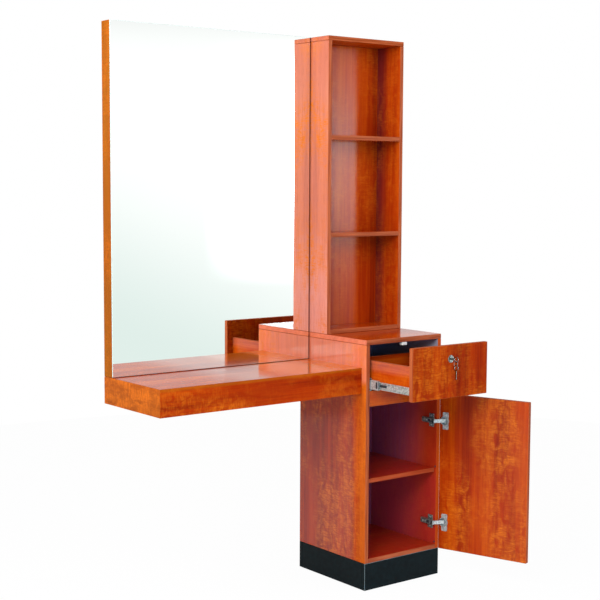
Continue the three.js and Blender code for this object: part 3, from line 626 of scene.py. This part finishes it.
def add_hinge_details():
    door_inward = Matrix.Rotation(open_door_angle, 3, "Z") @ Vector(to_back)
    for name, height in hinge_heights.items():
        for side, sign in (("top", 1), ("bottom", -1)):
            cup_screw = door_place(cup_screw_aside, cup_plate_face, height + sign * cup_screw_rise)
            add_screw(f"cup_screw_{name}_{side}", cup_screw, door_inward, "door_leaf")
            plate_screw = in_cabinet(mounting_plate_face, mounting_plate_middle,
                                     height + sign * mounting_screw_rise)
            add_screw(f"plate_screw_{name}_{side}", plate_screw, to_left, "station", 3.2 * mm)
        for place, depth in arm_screw_depths.items():
            add_screw(f"arm_screw_{name}_{place}", in_cabinet(arm_face, depth, height), to_left,
                      "station", 3.4 * mm, 1.2 * mm)
        slot_cover = rounded_plate(13 * mm, 10 * mm, 0.5 * mm, 3 * mm)
        on_arm = standing_on(in_cabinet(arm_face, slot_cover_depth, height), to_left)
        lying = on_arm @ Matrix.Rotation(math.pi / 2, 4, "Z")
        add_piece(f"arm_slot_{name}", slot_cover, "dark_nylon", "station", lying)


# Slides: release levers on the inner members, stops on the middle members and fixing screws.
# The places are in millimetres, and the members' depths count from the cabinet's outer faces.
cabinet_width = 364
slide_level = 752
inner_member_depth = 27.2
middle_member_depth = 18.7


def add_slide_details():
    for name, edge, direction in (("left", 0, to_left), ("right", cabinet_width, to_right)):
        inner_face = edge - direction[0] * inner_member_depth
        middle_face = edge - direction[0] * middle_member_depth
        for place, depth in (("front", -592), ("rear", -402)):
            add_screw(f"slide_screw_{name}_{place}", in_cabinet(inner_face, depth, slide_level),
                      direction, "drawer", 3.4 * mm, 1.3 * mm)
        lever = rounded_plate(9 * mm, 34 * mm, 2.4 * mm, 3 * mm)
        add_piece(f"release_lever_{name}", lever, "dark_nylon", "drawer",
                  standing_on(in_cabinet(inner_face, -446, slide_level), direction))
        stop = rounded_plate(24 * mm, 8 * mm, 0.8 * mm, 2 * mm)
        add_piece(f"slide_stop_{name}", stop, "dark_nylon", "slide_middles",
                  standing_on(in_cabinet(middle_face, -419, slide_level), direction))


# Lock: a turned rosette round the nose
def add_lock_details():
    mesh = bmesh.new()
    profile = [(11.1, 0), (13.6, 0), (13.6, 0.5), (13.0, 1.2), (11.9, 1.5), (11.1, 1.5)]
    points = [mesh.verts.new((radius * mm, 0, height * mm)) for radius, height in profile]
    outline = [mesh.edges.new(pair) for pair in zip(points, points[1:] + points[:1])]
    bmesh.ops.spin(mesh, geom=points + outline, axis=upward, cent=(0, 0, 0), angle=2 * math.pi,
                   steps=48, use_merge=True)
    bmesh.ops.remove_doubles(mesh, verts=mesh.verts, dist=1e-6)
    centre = Vector(joints["key_turn"]["pos_m"])
    centre.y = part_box("drawer_front")[0].y
    add_piece("lock_rosette", mesh, "nickel", "drawer", standing_on(centre, to_front))


# Carcass: shelf pins under the inner shelf, dark caps on the right side, screws in the back panel.
# The places are in millimetres.
pin_level = 388.3
pin_faces = {"left": (16.3, to_right), "right": (347.7, to_left)}
cap_face = 348
cap_depth = -379
back_screw_depth = -0.45


def shelf_pin(radius, length):
    """A round pin standing on z = 0 with an eased tip."""
    pin = bmesh.new()
    bmesh.ops.create_cone(pin, cap_ends=True, segments=16, radius1=radius, radius2=radius,
                          depth=length, matrix=Matrix.Translation((0, 0, length / 2)))
    tip = [edge for edge in pin.edges if all(vert.co.z > length * 0.875 for vert in edge.verts)]
    bmesh.ops.bevel(pin, geom=tip, offset=0.6 * mm, offset_type="OFFSET", segments=2,
                    profile=0.5, affect="EDGES", material=-1)
    return pin


def add_back_screw(name, x, z):
    add_screw(f"back_screw_{name}", in_cabinet(x, back_screw_depth, z), to_back, "station",
              3.4 * mm, 0.5 * mm)


def add_carcass_details():
    for side, (face, inward) in pin_faces.items():
        for place, depth in (("front", -340), ("rear", -70)):
            add_piece(f"shelf_pin_{side}_{place}", shelf_pin(2.5 * mm, 8 * mm), "nickel", "station",
                      standing_on(in_cabinet(face, depth, pin_level), inward))
    for name, level in (("shelf", 412), ("floor", 124)):
        cap = rounded_plate(7 * mm, 7 * mm, 0.8 * mm, 3.2 * mm)
        add_piece(f"side_cap_{name}", cap, "dark_nylon", "station",
                  standing_on(in_cabinet(cap_face, cap_depth, level), to_left))
    for column, x in (("left", -816), ("right", -26)):
        for row, level in enumerate((740, 1040, 1350, 1660, 1965)):
            add_back_screw(f"{column}_{row}", x, level)
    for row, level in (("bottom", 727), ("top", 1974)):
        add_back_screw(f"middle_{row}", -421, level)


# Pale floor, white surroundings and soft boxes
def add_floor():
    mesh = bmesh.new()
    bmesh.ops.create_circle(mesh, cap_ends=True, segments=96, radius=3.4)
    data = bpy.data.meshes.new("floor")
    mesh.to_mesh(data)
    mesh.free()
    floor = bpy.data.objects.new("floor", data)
    bpy.context.scene.collection.objects.link(floor)
    pale = material("pale_floor")
    rays = pale.node("ShaderNodeLightPath", {}, {}, "Is Camera Ray")
    mirrored = pale.node("ShaderNodeLightPath", {}, {}, "Is Glossy Ray")
    clay = pale.node("ShaderNodeBsdfDiffuse", {}, {"Color": (0.86, 0.86, 0.86, 1)})
    glow = pale.node("ShaderNodeEmission", {}, {"Color": (1, 1, 1, 1), "Strength": 1.0})
    shown = rays * 0.97 + mirrored * 0.3
    both = pale.node("ShaderNodeMixShader", {}, {0: shown, 1: clay, 2: glow})
    pale.node("ShaderNodeOutputMaterial", {}, {"Surface": both})
    data.materials.append(pale.owner)


white = (1, 1, 1, 1)
green_grey = (0.74, 0.83, 0.8, 1)
cool_white = (0.4, 0.85, 1, 1)


def set_surroundings():
    """White to the camera and plain soft light on the object. For the gloss to show, there are a bright
    panel low to the front right, another high to the front left, a dimmer wall behind to the left, a
    dimmer ceiling, and green-grey below an edge that slants."""
    world = bpy.data.worlds.new("white_studio")
    bpy.context.scene.world = world
    sky = Finish(world)
    direction = sky.node("ShaderNodeTexCoord", {}, {}, "Generated")

    def along(heading):
        return sky.dot(direction, heading)

    def panel(compass, left, right, bottom, top):
        """A panel at degrees from +X, between sines of angles from its middle."""
        turn = math.radians(compass)
        ahead = along((math.cos(turn), math.sin(turn), 0)).above(0.6, 0.1)
        aside = along((math.sin(turn), -math.cos(turn), 0))
        rise = along(upward)
        wide = aside.above(left, 0.05) * (1 - aside.above(right, 0.03))
        tall = rise.above(bottom, 0.05) * (1 - rise.above(top, 0.05))
        return ahead * wide * tall

    front_panel = panel(compass=-51.5, left=-0.3, right=0.06, bottom=-0.03, top=0.06)
    upper_panel = panel(compass=-128.5, left=-0.3, right=0.3, bottom=0.08, top=0.3)
    back_wall = along((-0.5, 0.866, 0)).above(0.75, 0.15)
    ceiling = along(upward).above(0.13, 0.04)
    slant = along(upward) + along((0.783, 0.623, 0)) * 0.48
    pale = sky.mix(slant.above(-0.115, 0.075), green_grey, white)
    pale = sky.mix(front_panel, pale, cool_white)
    brightness = 1.06 - back_wall * 0.6 - ceiling * 0.35 + front_panel * 14 + upper_panel * 3

    rays = sky.node("ShaderNodeLightPath", {}, {}, "Is Camera Ray")
    mirrored = sky.node("ShaderNodeLightPath", {}, {}, "Is Glossy Ray")
    passed = sky.node("ShaderNodeLightPath", {}, {}, "Is Transmission Ray")
    lamp = sky.node("ShaderNodeBackground", {}, {"Color": white, "Strength": 0.52})
    backdrop = sky.node("ShaderNodeBackground", {}, {"Color": white, "Strength": 1.0})
    panels = sky.node("ShaderNodeBackground", {}, {"Color": pale, "Strength": brightness})
    seen = sky.math("MINIMUM", rays + passed, 1.0)
    straight = sky.node("ShaderNodeMixShader", {}, {0: seen, 1: lamp, 2: backdrop})
    both = sky.node("ShaderNodeMixShader", {}, {0: mirrored, 1: straight, 2: panels})
    sky.node("ShaderNodeOutputWorld", {}, {"Surface": both})


def add_soft_box(name, place, target, width, height, power, colour=(1, 1, 1)):
    data = bpy.data.lights.new(name, "AREA")
    data.color = colour
    data.shape = "RECTANGLE"
    data.size = width
    data.size_y = height
    data.energy = power
    lamp = bpy.data.objects.new(name, data)
    lamp.location = place
    lamp.rotation_euler = (Vector(target) - Vector(place)).to_track_quat("-Z", "Y").to_euler()
    lamp.visible_camera = False
    lamp.visible_glossy = False
    bpy.context.scene.collection.objects.link(lamp)


def add_soft_boxes():
    add_soft_box("key_box", place=(-3.4, -2.6, 2.8), target=(-0.1, -0.2, 0.8), width=1.8, height=1.8,
                 power=110)
    add_soft_box("fill_box", place=(1.6, -3.6, 2.2), target=(0.0, -0.1, 1.2), width=1.6, height=1.6,
                 power=30)
    add_soft_box("left_box", place=(-2.7, -0.5, 2.9), target=(-0.2, -0.2, 0.9), width=1.2, height=0.8,
                 power=42)
    add_soft_box("cool_box", place=(-1.2, -2.7, 0.8), target=(0.1, -0.2, 0.5), width=0.9, height=0.9,
                 power=26, colour=(0.08, 0.4, 1.0))


set_camera()
dress_nodes()
add_hinge_details()
add_slide_details()
add_lock_details()
add_carcass_details()
add_floor()
set_surroundings()
add_soft_boxes()

bpy.context.scene.view_settings.view_transform = "Standard"
